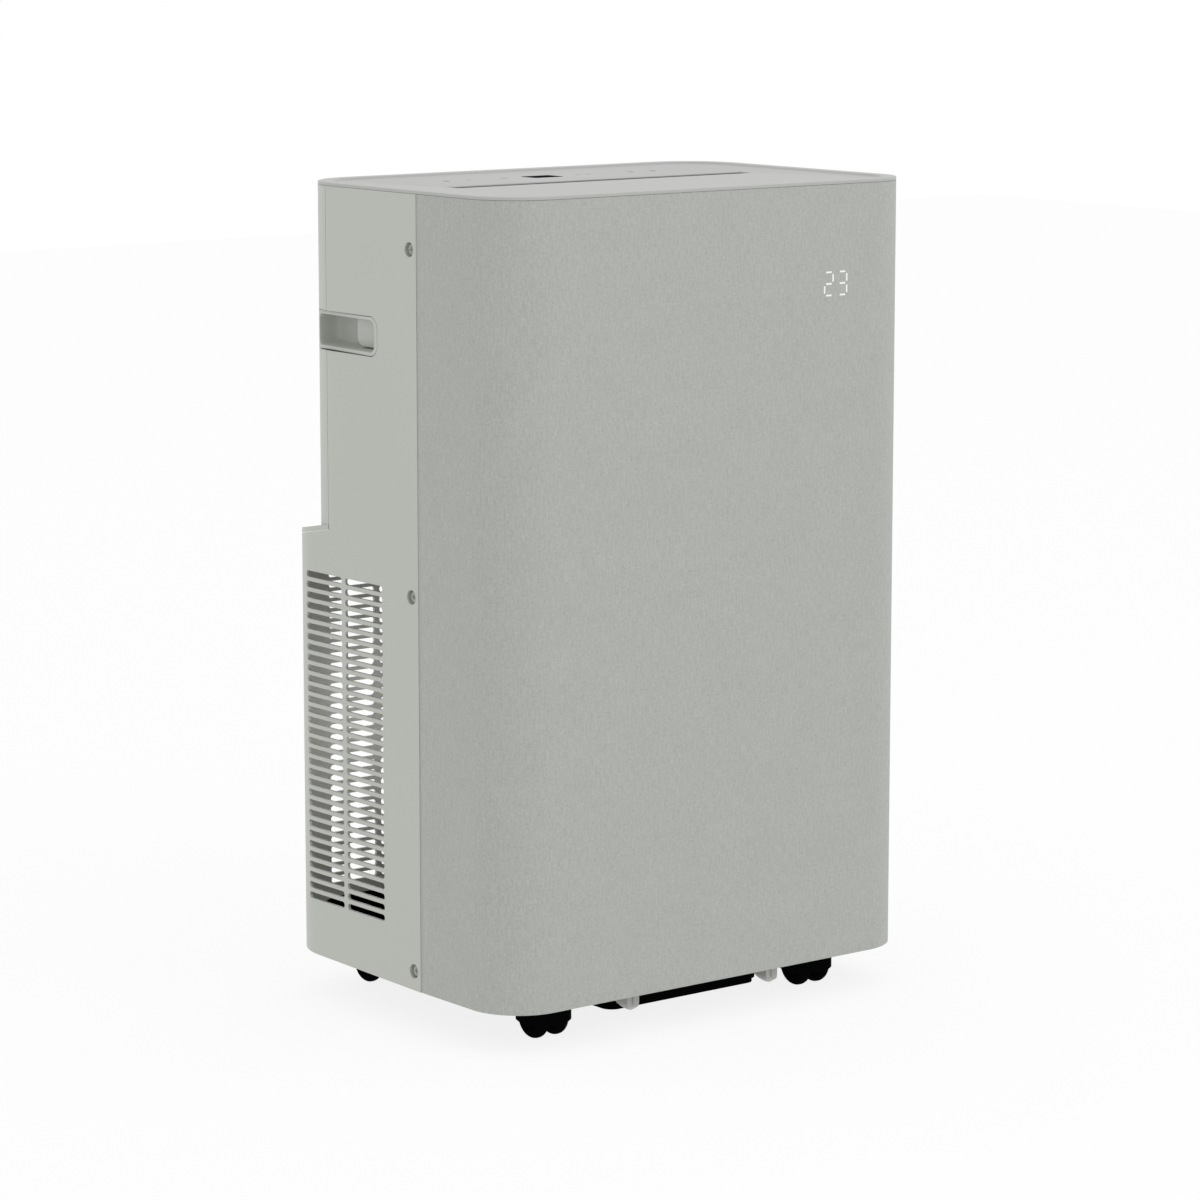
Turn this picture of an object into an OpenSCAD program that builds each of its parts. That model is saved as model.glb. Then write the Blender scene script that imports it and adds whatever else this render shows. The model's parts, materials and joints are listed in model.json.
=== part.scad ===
// Compact room dehumidifier on four twin-wheel castors.
// Millimetres. Origin on the floor under the middle of the cabinet, +Z up,
// the fabric front faces -Y, +X is to the right when facing the front.

/* [Cabinet] */
// Overall width
body_w = 439; // [366:1:527]
// Overall depth at the foot
body_d = 326; // [272:1:392]
// Overall height above the floor
body_h = 700; // [584:1:840]
// Height of the cabinet's lower edge above the floor
base_z = 35; // [32:1:44]
// Rise of the lower edge from the fabric seam to the back
base_rise = 4; // [0:1:8]
// Plan radius of the front corners
front_r = 48; // [20:1:60]
// Plan radius of the rear corners
rear_r = 54.4; // [20:0.2:60]
// Wall of the rear housing and of the back cover
wall = 2.5; // [2:0.1:3.5]
// Wall of the front shell under its fabric
shell_wall = 2.4; // [2:0.1:3.5]
// Thickness of the fabric skin
fabric_t = 1.2; // [0.8:0.1:2]
// Distance of the fabric seam behind the front
seam_d = 119.5; // [100:0.5:140]
// Gap at every seam of the casing
seam_gap = 0.4; // [0.3:0.1:1]

/* [Back step] */
// Depth of the step in the back
step_d = 29.1; // [15:0.1:40]
// Height of the side seam where the back cover starts
ledge_h = 409.3; // [380:0.1:430]
// Fall of the ledge, per millimetre towards the back
ledge_fall = 0.182; // [0.05:0.01:0.3]
// Thickness of the ledge
ledge_t = 4.1; // [3:0.1:6]
// Distance of the cover's side seam in front of the upper back
cover_seam_d = 47.7; // [35:0.1:60]

/* [Louvres] */
// Height of the lowest slot
louvre_z = 86; // [84:1:100]
// Rows of slots
louvre_rows = 32; // [8:1:32]
// Distance from slot to slot
louvre_pitch = 9; // [8:0.5:9]
// Height of one slot
slot_h = 5.5; // [3:0.5:6]
// Distance of the side slots behind the fabric seam
side_slot_d = 51.5; // [30:0.5:70]
// Distance of the side slots from the back
side_slot_back = 42; // [30:1:60]
// Rib between two columns of slots
slot_rib = 5.0; // [4:0.1:10]
// Length of one rear slot
rear_slot_len = 44.8; // [30:0.1:46]
// Half width of the middle mullion of the back
mullion_half = 20.7; // [18:0.1:30]
// How much longer the outermost rear slots are
outer_extra = 3.5; // [0:0.5:4]
// How far the rear slots sit below the side slots
rear_slot_drop = 2.6; // [0:0.1:3]

/* [Top and outlet] */
// Thickness of the top plate's rim
rim_t = 2.5; // [2:0.1:4]
// Width of the top plate's raised rim
rim_w = 13; // [8:1:20]
// Depth of the dished middle below the rim
dish = 1.8; // [0.5:0.1:2]
// Length of the air outlet slot
outlet_len = 316; // [240:1:316]
// Width of the air outlet slot
outlet_w = 18; // [14:1:22]
// Distance of the slot's front edge behind the front
outlet_d = 146; // [140:1:160]
// Width of the air flap
flap_w = 16.4; // [12:0.1:16.6]
// Depth of the flap's axis below the top
flap_drop = 9.8; // [9:0.1:12]

/* [Handles] */
// Length of a handle cup
handle_len = 98.7; // [80:0.1:100]
// Height of a handle cup
handle_h = 33; // [28:1:40]
// Depth of a handle cup
handle_depth = 28; // [24:1:40]
// Distance of a handle cup's top below the top of the cabinet
handle_drop = 106.7; // [80:0.1:120]
// Distance of a handle cup's end from the upper back
handle_back = 22.9; // [18:0.1:30]

/* [Castors] */
// Wheel radius
wheel_r = 17.5; // [16:0.5:19]
// Wheel width
wheel_w = 11; // [8:0.5:12]
// Distance between the middles of the two wheels
wheel_gauge = 20.2; // [19:0.1:22]
// Offset of the axle behind the swivel
trail = 10; // [6:0.5:12]
// Distance of a swivel from the cabinet's side
castor_side = 76.5; // [60:0.5:90]
// Distance of the front swivels behind the front
castor_front = 42.4; // [38:0.1:60]
// Distance of the rear swivels in front of the back
castor_back = 46; // [40:1:60]

/* [Cooling unit] */
// Distance of the condenser behind the front
coil_d = 111; // [90:1:120]
// Depth of each coil
coil_t = 22; // [16:1:24]
// Gap between the two coils
coil_gap = 6; // [4:1:12]
// Rows of tube in a coil, an even number
tube_rows = 10; // [6:2:10]
// Distance between the tube rows
tube_pitch = 28; // [24:1:28]
// Outer radius of a coil tube
tube_r = 4.5; // [3:0.5:6]
// Radius of the compressor
comp_r = 50; // [40:1:54]
// Radius of the fan wheel
fan_r = 52; // [40:1:56]
// Height of the fan's axis above the deck
fan_rise = 117; // [100:1:120]

/* [Hidden] */
$fn = 64;

// Clearances
run = 0.05;            // radial, shaft in a bearing
fit = 0.2;             // panel in its cut-out
snug = 0.1;            // small piece in its pocket
over = 1;              // how far a cut runs past what it cuts

// Casing planes
half_w = body_w / 2;
front_y = -body_d / 2;
rear_y = body_d / 2;
upper_y = rear_y - step_d;
seam_y = front_y + seam_d;
cover_y = upper_y - cover_seam_d;
rim_z = body_h - rim_t;
casing_top = rim_z - fit;
dish_z = body_h - dish;
plate_z = rim_z - rim_t;          // underside of the top plate
shell_in = fabric_t + shell_wall; // inside of the front shell

// Screws that hold the rear housing to the front shell
screw_y = seam_y + 10;
screw_zs = [51.4, 366.6, body_h - 48];
recess_r = 6;
recess_depth = 5;
screw_r = 1.9;
flange_in = 7.7;                  // outside of the flange behind the recesses
flange_t = 2.5;

// Hooks under the front edge
lug_x = 75.5;
lug_w = 12.6;
lug_d = 18;
lug_r = 6.2;
lug_y = front_y + 17.6;
lug_z = 17.7;

// Base pan
pan_in = 16;
pan_floor = 52;
pan_top = 75;
pan_t = 3;
tab_w = 10;
tab_h = 11;
castor_x = half_w - castor_side;
swivel_ys = [front_y + castor_front, rear_y - castor_back];
hood_top = 42;
stem_r = 5;
stem_h = 25;
hood_low = 14;                     // underside of a castor's hood
hood_wall = 1.2;
hood_gap = 0.6;                    // between a wheel and its hood
wheel_edge = 5;                    // rounding of a wheel's rims
wheel_hub = 7;                     // radius of the raised hub
axle_r = 3;
axle_half = wheel_gauge / 2 + wheel_w / 2 - 1;
web_half = 3.2;                    // half of the web between the wheels
hood_r = norm([wheel_gauge / 2 + wheel_w / 2 - wheel_edge, wheel_r - wheel_edge])
         + wheel_edge + hood_gap + hood_wall;
sump_x = 5.5;                      // middle of the sump, off the cabinet's middle
sump_half = castor_x - trail - hood_r - 25.2;
sump_y0 = front_y + 50;
sump_y1 = sump_y0 + 83;
sump_z = 10.5;
spigot_x = -60;
spigot_z = 63.5;
spigot_r = 7.5;
spigot_bore = 5;
port_r = 17;
gland_z = 112;
gland_r = 8;
cord_r = 4;
flange_rim = 3;                    // how far a rear fitting's flange stands out
float_y = sump_y0 + 20;
float_z = 30;

// Deck between the cooling unit and the fan
deck_z = louvre_z + louvre_rows * louvre_pitch + 6;
deck_t = 3;
deck_in = 12;
deck_top = deck_z + deck_t;

// Coils
coil_half = half_w - 54.5;
tray_z = 78;
tray_h = 12;
coil_z0 = tray_z + tray_h + 2;
coil_z1 = deck_z - 8;
tube_z0 = coil_z0 + 14;
tube_top = tube_z0 + (tube_rows - 1) * tube_pitch;
cond_y = front_y + coil_d + coil_t / 2;
evap_y = cond_y + coil_t + coil_gap;
fin_pitch = 12;
fin_t = 1.2;
stub_x = coil_half + 12;
riser_x = coil_half + 25;         // pipes that run beside the coils' bends
drier_x = coil_half + 31;
drier_h = 50;
evap_back = evap_y + coil_t / 2;

// Compressor and its accumulator
comp_x = 70;
comp_y = (evap_back + rear_y - wall) / 2;
comp_mid = 170;
comp_half = 80;
comp_dome = sqrt(comp_r * comp_r + comp_half * comp_half);
foot_ring = comp_r + 8;
plate_top = pan_floor + 26;
accu_r = 20;
accu_x = comp_x - comp_r - accu_r - 3;
accu_z = 100;
accu_h = 130;
discharge_z = comp_mid + comp_dome + 40;

// Fan
fan_y = front_y + 198;
fan_z = deck_top + fan_rise;
fan_gap = 4;
scroll_growth = 20;
shaft_r = 4;
duct_t = 3;
outlet_half = outlet_len / 2;
outlet_y = front_y + outlet_d;
fan_x0 = -outlet_half + 8;
fan_x1 = outlet_half - 52;
bulkhead_x = fan_x1 + 6;
motor_len = 35;
motor_r = 34;

// Air flap
flap_y = outlet_y + outlet_w / 2;
flap_z = body_h - flap_drop;
flap_t = 2.2;
flap_pin_r = 2.5;
flap_motor_r = 12;
throat_z = flap_z - flap_w / 2 - 6;

// Handle cups
cup_y1 = upper_y - handle_back;
cup_y0 = cup_y1 - handle_len;
cup_z1 = body_h - handle_drop;
cup_z0 = cup_z1 - handle_h;
cup_rim = 5;
cup_lip = 3.4;
cup_t = 2;
cup_r = 10;
pad_len = 46;                     // shallow front part of a cup
pad_drop = 12;
pad_lift = 1.6;
pad_r = 9;

// Filter in the upper back
filter_half = 120;
filter_z0 = ledge_h + 22.1;
filter_z1 = body_h - 38;
door_gap = 1;
hinge_z = filter_z0 + 3.5;
hinge_y = upper_y - wall;
hinge_r = 1.2;
mesh_half = filter_half - 7;

// Display
digit_w = 10.8;
digit_h = 20.9;
digit_gap = 4.3;
stroke = 1.5;
segment_gap = 0.9;
digits_x = half_w - 80.5 - 2 * digit_w - digit_gap;
digits_z = body_h - 75 - digit_h;
display_low = [digits_x - 18, front_y + shell_in + 2.4, digits_z - 14];
display_high = [digits_x + 44, front_y + shell_in + 4, digits_z + 36];

// Controls on the top
icon_y = front_y + 220;
window_x = [-31.6, -1.4];
window_y = [front_y + 207, front_y + 229];
board_z = plate_z - 12;

// Electrical box
box_x = [20, 150];
box_y = [front_y + 13, front_y + 63];
box_z = [deck_top, deck_top + 150];
box_t = 2;

// ---- shared shapes -------------------------------------------------------

// Outline of the cabinet, moved in by inset, with its back at y = back
module plan(inset, back) {
    w = half_w - inset;
    y0 = front_y + inset;
    y1 = back - inset;
    rf = max(front_r - inset, 1);
    rr = max(rear_r - inset, 1);
    translate([-w, y0 + rf]) square([2 * w, y1 - y0 - rf - rr]);
    translate([-w + rf, y0]) square([2 * (w - rf), rf + 1]);
    translate([-w + rr, y1 - rr - 1]) square([2 * (w - rr), rr + 1]);
    for (side = [-1, 1]) {
        translate([side * (w - rf), y0 + rf]) circle(rf);
        translate([side * (w - rr), y1 - rr]) circle(rr);
    }
}

// Ring between two insets of the outline
module plan_ring(outer, inner, back) {
    difference() {
        plan(outer, back);
        plan(inner, back);
    }
}

// Solid whose side view, in y and z, is the child outline
module side_view(x0, x1) {
    translate([x0, 0, 0]) rotate([90, 0, 90]) linear_extrude(x1 - x0) children();
}

// Solid whose front view, in x and z, is the child outline
module front_view(y0, y1) {
    translate([0, y1, 0]) rotate([90, 0, 0]) linear_extrude(y1 - y0) children();
}

// Box from its lowest to its highest corner
module block(low, high) {
    translate(low) cube(high - low);
}

// Rectangle with round corners, from its lower left corner
module round_rect(w, h, r) {
    translate([r, 0]) square([w - 2 * r, h]);
    translate([0, r]) square([w, h - 2 * r]);
    for (x = [r, w - r], y = [r, h - r]) translate([x, y]) circle(r);
}

// Slot with half-round ends, from its lower left corner
module slot(len, h) {
    translate([h / 2, 0]) square([len - h, h]);
    for (x = [h / 2, len - h / 2]) translate([x, h / 2]) circle(h / 2, $fn = 32);
}

// Cylinders along X and along Y
module rod_x(r, x0, x1) {
    translate([x0, 0, 0]) rotate([0, 90, 0]) cylinder(r = r, h = x1 - x0);
}
module rod_y(r, y0, y1) {
    translate([0, y0, 0]) rotate([-90, 0, 0]) cylinder(r = r, h = y1 - y0);
}

// Round tube along a list of points, with a ball at each corner
module pipe(points, r) {
    for (i = [0 : len(points) - 2]) {
        run_v = points[i + 1] - points[i];
        length = norm(run_v);
        translate(points[i])
            rotate([0, acos(run_v[2] / length), atan2(run_v[1], run_v[0])])
                cylinder(r = r, h = length, $fn = 32);
        if (i > 0) translate(points[i]) sphere(r, $fn = 32);
    }
}

// Height of the ledge's seam at a depth y
function ledge_z(y) = ledge_h - ledge_fall * (y - cover_y);

// Places its children at each of the six side screws, with +X outward
module at_screws() {
    for (side = [0, 1], z = screw_zs)
        mirror([side, 0, 0]) translate([half_w, screw_y, z]) children();
}

// Outline of a handle cup in y and z, grown by extra
module cup_outline(extra) {
    translate([cup_y0 - extra, cup_z0 - extra])
        round_rect(handle_len + 2 * extra, handle_h + 2 * extra, cup_r + extra);
}

module handle_cutouts() {
    side_view(-half_w - over, half_w + over) cup_outline(fit);
}

// ---- casing --------------------------------------------------------------

module side_louvres() {
    y0 = seam_y + side_slot_d;
    column = (rear_y - side_slot_back - y0 - slot_rib) / 2;
    for (row = [0 : louvre_rows - 1], c = [0, 1])
        translate([y0 + c * (column + slot_rib), louvre_z + row * louvre_pitch])
            slot(column, slot_h);
}

module rear_louvres() {
    columns = floor((half_w - rear_r + 5 - mullion_half) / (rear_slot_len + slot_rib) + 0.5);
    // one row more than the sides have, since the drop leaves room under the deck
    for (row = [0 : louvre_rows], c = [0 : columns - 1], side = [0, 1])
        mirror([side, 0]) translate([mullion_half + c * (rear_slot_len + slot_rib),
                                     louvre_z - rear_slot_drop + row * louvre_pitch])
            slot(rear_slot_len + (c == columns - 1 ? outer_extra : 0), slot_h + 0.5);
}

module rear_housing() {
    start_y = seam_y + seam_gap;
    color([0.72, 0.73, 0.7]) difference() {
        union() {
            intersection() {
                linear_extrude(body_h) plan_ring(0, wall, rear_y);
                side_view(-body_w, body_w) polygon([
                    [start_y, base_z], [rear_y + over, base_z + base_rise],
                    [rear_y + over, ledge_z(rear_y + over) - seam_gap],
                    [cover_y - seam_gap, ledge_h - seam_gap], [start_y, ledge_h - seam_gap]]);
            }
            intersection() {
                linear_extrude(body_h) plan_ring(0, wall, upper_y);
                side_view(-body_w, body_w) polygon([
                    [start_y, ledge_h - 2 * over], [cover_y - seam_gap, ledge_h - 2 * over],
                    [cover_y - seam_gap, casing_top], [start_y, casing_top]]);
            }
            at_screws() rod_x(recess_r + 2, -recess_depth - wall, -over);
        }
        side_view(-body_w, body_w) side_louvres();
        front_view(rear_y - rear_r / 2, rear_y + over) rear_louvres();
        handle_cutouts();
        at_screws() {
            rod_x(recess_r, -recess_depth, over);
            rod_x(screw_r + fit, -recess_depth - wall - over, over);
        }
        translate([spigot_x, 0, spigot_z]) rod_y(port_r, rear_y - 2 * wall, rear_y + over);
        translate([0, 0, gland_z]) {
            rod_y(gland_r + snug, rear_y - 2 * wall, rear_y + over);
            rod_y(gland_r + flange_rim + snug, rear_y - 1.5, rear_y + over);
        }
    }
}

module upper_back_cover() {
    color([0.75, 0.76, 0.73]) difference() {
        union() {
            intersection() {
                linear_extrude(body_h) plan_ring(0, wall, upper_y);
                side_view(-body_w, body_w) polygon([
                    [cover_y, ledge_h], [upper_y + over, ledge_z(upper_y + over)],
                    [upper_y + over, casing_top], [cover_y, casing_top]]);
            }
            intersection() {
                linear_extrude(body_h) difference() {
                    plan(0, rear_y);
                    plan(wall, upper_y);
                }
                side_view(-body_w, body_w) polygon([
                    [cover_y, ledge_h], [rear_y + over, ledge_z(rear_y + over)],
                    [rear_y + over, ledge_z(rear_y + over) + ledge_t],
                    [cover_y, ledge_h + ledge_t]]);
            }
            for (side = [0, 1]) mirror([side, 0, 0])
                block([filter_half, upper_y - wall - 5, filter_z0 - 2],
                      [filter_half + 6, upper_y - 1, hinge_z + 5]);
        }
        front_view(upper_y - 2 * wall - 5, upper_y + over)
            translate([-filter_half, filter_z0])
                square([2 * filter_half, filter_z1 - filter_z0]);
        translate([0, hinge_y, hinge_z]) rod_x(hinge_r + run, -filter_half - 4.5, filter_half + 4.5);
        handle_cutouts();
    }
}

module front_shell() {
    color([0.7, 0.71, 0.68]) difference() {
        union() {
            intersection() {
                linear_extrude(body_h) plan_ring(fabric_t, shell_in, upper_y);
                block([-body_w, front_y - over, base_z], [body_w, seam_y, casing_top]);
            }
            for (side = [0, 1]) mirror([side, 0, 0]) {
                block([half_w - flange_in - flange_t, seam_y - 16, base_z + 5],
                      [half_w - flange_in, seam_y + 21, casing_top - 10]);
                block([half_w - flange_in - flange_t, seam_y - 16, base_z + 5],
                      [half_w - shell_in + 1, seam_y - 16 + shell_wall, casing_top - 10]);
                translate([lug_x, 0, 0]) front_lug();
            }
            at_screws() rod_x(5, -flange_in - flange_t - 4, -flange_in);
            display_posts();
        }
        at_screws() rod_x(screw_r + snug, -half_w / 4, -flange_in + over);
        front_view(front_y - over, front_y + shell_in + over) digits(snug);
    }
}

// Hook under the front edge: a rounded block with a thin middle rib
module front_lug() {
    arm_y = front_y + fabric_t + over;
    intersection() {
        front_view(arm_y, lug_y + lug_d) {
            translate([-lug_w / 2, lug_z]) round_rect(lug_w, base_z + 14 - lug_z, lug_r);
        }
        side_view(-lug_w, lug_w) polygon([
            [arm_y, base_z + 3], [lug_y, base_z + 3], [lug_y, lug_z + 3], [lug_y + 3, lug_z],
            [lug_y + 5, lug_z], [lug_y + lug_d, lug_z + 7], [lug_y + lug_d, base_z + 12], [arm_y, base_z + 12]]);
    }
    block([-0.8, lug_y - 1.2, lug_z + 5], [0.8, lug_y + 1, base_z + 4]);
}

module front_fabric() {
    color([0.68, 0.69, 0.67]) difference() {
        intersection() {
            linear_extrude(body_h) plan_ring(0, fabric_t, upper_y);
            block([-body_w, front_y - over, base_z], [body_w, seam_y, casing_top]);
        }
        front_view(front_y - over, front_y + shell_in) digits(snug);
    }
}

module top_plate() {
    color([0.77, 0.77, 0.76]) difference() {
        union() {
            translate([0, 0, rim_z]) linear_extrude(rim_t) plan(0, upper_y);
            translate([0, 0, plate_z]) linear_extrude(rim_t + over)
                plan(shell_in + 0.5, upper_y);
            for (x = [-125, 115], y = [fan_y + 5, fan_y + 45])
                translate([x, y, board_z + 1.6]) cylinder(r = 3, h = plate_z - board_z);
        }
        translate([0, 0, dish_z]) linear_extrude(rim_t) plan(rim_w, upper_y);
        block([-outlet_half, outlet_y, plate_z - over], [outlet_half, outlet_y + outlet_w, body_h]);
        block([window_x[0] - snug, window_y[0] - snug, dish_z - 1.3],
              [window_x[1] + snug, window_y[1] + snug, body_h]);
    }
}

module control_window() {
    color([0.05, 0.05, 0.06])
        translate([window_x[0], window_y[0], dish_z - 1.3]) linear_extrude(1.4)
            round_rect(window_x[1] - window_x[0], window_y[1] - window_y[0], 2);
}

// Printed touch marks: rings, bars and crosses
module touch_icons() {
    ink = 0.15;
    color([0.45, 0.46, 0.45]) translate([0, icon_y, dish_z]) linear_extrude(ink) {
        for (x = [-116, 81, 106]) translate([x, 0]) difference() {
            circle(3);
            circle(2.4);
        }
        for (x = [-92, 24]) translate([x, 0]) square([5, 0.7], center = true);
        translate([-55, 0]) square([6, 4], center = true);
        translate([35, 0]) {
            square([5, 0.7], center = true);
            square([0.7, 5], center = true);
        }
        for (x = [-116, 106]) translate([x, 0]) square([0.7, 3], center = true);
    }
}

module control_board() {
    color([0.1, 0.35, 0.2]) {
        block([-135, fan_y - 5, board_z], [125, fan_y + 55, board_z + 1.6]);
        for (x = [-116, -92, -55, 24, 35, 81, 106])
            translate([x, icon_y, board_z + 1.6]) cylinder(r = 3.5, h = plate_z - board_z - 1.6);
    }
}

module handle_cup() {
    inner = half_w - handle_depth;
    difference() {
        intersection() {
            linear_extrude(body_h) plan(0, upper_y);
            side_view(inner, half_w + over) cup_outline(0);
        }
        difference() {
            side_view(inner + cup_t, half_w + over)
                translate([cup_y0 + cup_rim, cup_z0 + cup_lip])
                    round_rect(handle_len - 2 * cup_rim, handle_h - 2 * cup_lip, cup_r - cup_lip);
            side_view(inner, half_w - pad_drop)
                translate([cup_y0 - pad_r, cup_z0 + cup_lip + pad_lift])
                    round_rect(pad_len + pad_r, handle_h, pad_r);
        }
    }
}
module handle_cup_right() { color([0.66, 0.67, 0.65]) handle_cup(); }
module handle_cup_left() { color([0.66, 0.67, 0.65]) mirror([1, 0, 0]) handle_cup(); }

module side_screws() {
    head_r = 4.4;
    head_h = 2.4;
    color([0.6, 0.6, 0.6]) at_screws() difference() {
        union() {
            rod_x(head_r, -recess_depth, -recess_depth + head_h);
            rod_x(screw_r, -recess_depth - 11, -recess_depth);
        }
        for (turn = [0, 90]) translate([-recess_depth + head_h, 0, 0]) rotate([turn, 0, 0])
            cube([2, 0.9, 4.4], center = true);
    }
}

// ---- display -------------------------------------------------------------

// Seven-segment digit from its lower left corner; lit holds letters a to g
module digit(lit, grow) {
    start = stroke + segment_gap;
    half = digit_h / 2;
    bar = digit_w - 2 * start;
    post = half - 1.5 * stroke - 2 * segment_gap;
    upper = half + stroke / 2 + segment_gap;
    places = [["a", start, digit_h - stroke, bar, stroke],
              ["b", digit_w - stroke, upper, stroke, post],
              ["c", digit_w - stroke, start, stroke, post],
              ["d", start, 0, bar, stroke],
              ["e", 0, start, stroke, post],
              ["f", 0, upper, stroke, post],
              ["g", start, half - stroke / 2, bar, stroke]];
    for (p = places) if (len(search(p[0], lit)) > 0)
        translate([p[1] - grow, p[2] - grow]) square([p[3] + 2 * grow, p[4] + 2 * grow]);
}

module digits(grow) {
    translate([digits_x, digits_z]) {
        digit("abged", grow);
        translate([digit_w + digit_gap, 0]) digit("abgcd", grow);
    }
}

module display_digits() {
    color([0.98, 0.98, 1]) front_view(front_y, front_y + shell_in + 1) digits(0);
}

module display_posts() {
    for (x = [display_low[0] + 4, display_high[0] - 4], z = [display_low[2] + 4, display_high[2] - 4])
        translate([x, 0, z]) rod_y(2.5, front_y + fabric_t + over, display_low[1]);
}

module display_board() {
    color([0.1, 0.35, 0.2]) {
        block(display_low, display_high);
        block([digits_x - 3, display_low[1] - 1.2, digits_z - 3],
              [digits_x + 2 * digit_w + digit_gap + 3, display_low[1] + 1, digits_z + digit_h + 3]);
    }
}

// ---- outlet, fan and filter ----------------------------------------------

module air_flap() {
    end = outlet_half - 0.8;
    color([0.35, 0.36, 0.35]) translate([0, flap_y, flap_z]) {
        side_view(-end, end) {
            translate([-flap_w / 2 + flap_t / 2, -flap_t / 2]) square([flap_w - flap_t, flap_t]);
            for (side = [-1, 1]) translate([side * (flap_w - flap_t) / 2, 0])
                circle(flap_t / 2, $fn = 24);
        }
        rod_x(flap_pin_r, -outlet_half - duct_t, -end + 6);
        rod_x(flap_pin_r, end - 6, outlet_half + duct_t + 6);
    }
}

module flap_motor() {
    x0 = outlet_half + duct_t;
    color([0.8, 0.8, 0.78]) translate([0, flap_y, flap_z - 6]) difference() {
        union() {
            rod_x(flap_motor_r - 1.5, x0, x0 + 14);
            block([x0, -17, -2.5], [x0 + 1.5, 17, 2.5]);
        }
        translate([0, 0, 6]) rod_x(flap_pin_r + run, x0 - over, x0 + 7);
    }
}

// Front wall of the fan's scroll and outlet duct
module scroll_wall() {
    steps = 16;
    sweep = 120;
    inner = [for (i = [0 : steps]) let (a = -90 - sweep * i / steps,
                                        r = fan_r + fan_gap + scroll_growth * i / steps)
             [fan_y + r * cos(a), fan_z + r * sin(a)]];
    outer = [for (i = [steps : -1 : 0]) let (a = -90 - sweep * i / steps,
                                             r = fan_r + fan_gap + duct_t + scroll_growth * i / steps)
             [fan_y + r * cos(a), fan_z + r * sin(a)]];
    polygon(concat(inner, [[outlet_y, throat_z], [outlet_y, plate_z],
                           [outlet_y - duct_t, plate_z], [outlet_y - duct_t, throat_z]], outer));
}

// Rear wall of the duct, from the tongue above the fan to the slot
module tongue_wall() {
    a = 75;
    r = fan_r + fan_gap;
    back = outlet_y + outlet_w;
    polygon([[fan_y + r * cos(a), fan_z + r * sin(a)],
             [fan_y + (r + duct_t) * cos(a) + 2, fan_z + (r + duct_t) * sin(a)],
             [back + duct_t, throat_z], [back + duct_t, plate_z], [back, plate_z], [back, throat_z]]);
}

module scroll_side() {
    back = outlet_y + outlet_w;
    translate([fan_y, fan_z]) circle(fan_r + fan_gap + 2);
    translate([fan_y - 45, deck_top]) square([90, fan_z - deck_top]);
    polygon([[fan_y - 70, fan_z + 36], [fan_y, fan_z], [fan_y + 20, fan_z + 54],
             [back + duct_t, throat_z], [back + duct_t, plate_z],
             [outlet_y - duct_t, plate_z], [outlet_y - duct_t, throat_z]]);
}

module blower_housing() {
    color([0.25, 0.26, 0.27]) difference() {
        union() {
            side_view(-outlet_half - duct_t, outlet_half + duct_t) {
                scroll_wall();
                tongue_wall();
            }
            for (x = [-outlet_half - duct_t, bulkhead_x, outlet_half])
                side_view(x, x + duct_t)
                    if (x == bulkhead_x) {
                        translate([fan_y, fan_z]) circle(fan_r + fan_gap + 2);
                        translate([fan_y - 45, deck_top]) square([90, fan_z - deck_top]);
                    } else scroll_side();
        }
        translate([0, fan_y, fan_z]) {
            rod_x(8, -outlet_half - duct_t - over, -outlet_half + over);
            rod_x(8, bulkhead_x - over, bulkhead_x + duct_t + over);
            rod_x(motor_r + 4, outlet_half - over, outlet_half + duct_t + over);
        }
        translate([0, flap_y, flap_z])
            rod_x(flap_pin_r + run, -outlet_half - duct_t - over, outlet_half + duct_t + over);
    }
}

module fan_wheel() {
    blades = 24;
    ring_t = 2;
    bays = 4;
    bay = (fan_x1 - fan_x0 - ring_t) / bays;
    color([0.3, 0.31, 0.33]) translate([0, fan_y, fan_z]) {
        side_view(fan_x0, fan_x1)
            for (i = [0 : blades - 1]) rotate(i * 360 / blades) translate([fan_r - 7, 0])
                rotate(28) square([11, 1.2], center = true);
        for (i = [0 : bays]) side_view(fan_x0 + i * bay, fan_x0 + i * bay + ring_t)
            difference() {
                circle(fan_r);
                circle(i == 0 || i == bays ? shaft_r : fan_r - 14);
            }
        for (x = [fan_x0 + ring_t, fan_x1 - ring_t - 12]) side_view(x, x + 12) difference() {
            circle(11);
            circle(shaft_r);
        }
    }
}

module fan_shaft() {
    color([0.75, 0.76, 0.78]) translate([0, fan_y, fan_z])
        rod_x(shaft_r, -outlet_half - duct_t, bulkhead_x + duct_t + 14);
}

module fan_bearing() {
    color([0.7, 0.55, 0.3]) translate([0, fan_y, fan_z]) difference() {
        union() {
            rod_x(8, -outlet_half - duct_t, -outlet_half);
            rod_x(11, -outlet_half - duct_t - 2, -outlet_half - duct_t);
        }
        rod_x(shaft_r + run, -outlet_half - duct_t - 3, -outlet_half + over);
    }
}

module fan_motor() {
    x0 = bulkhead_x + duct_t;
    color([0.72, 0.73, 0.74]) translate([0, fan_y, fan_z]) difference() {
        union() {
            rod_x(motor_r, x0 + 3, x0 + motor_len - 4);
            rod_x(motor_r - 4, x0, x0 + motor_len);
        }
        rod_x(shaft_r + run, x0 - over, x0 + 16);
    }
}

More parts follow.
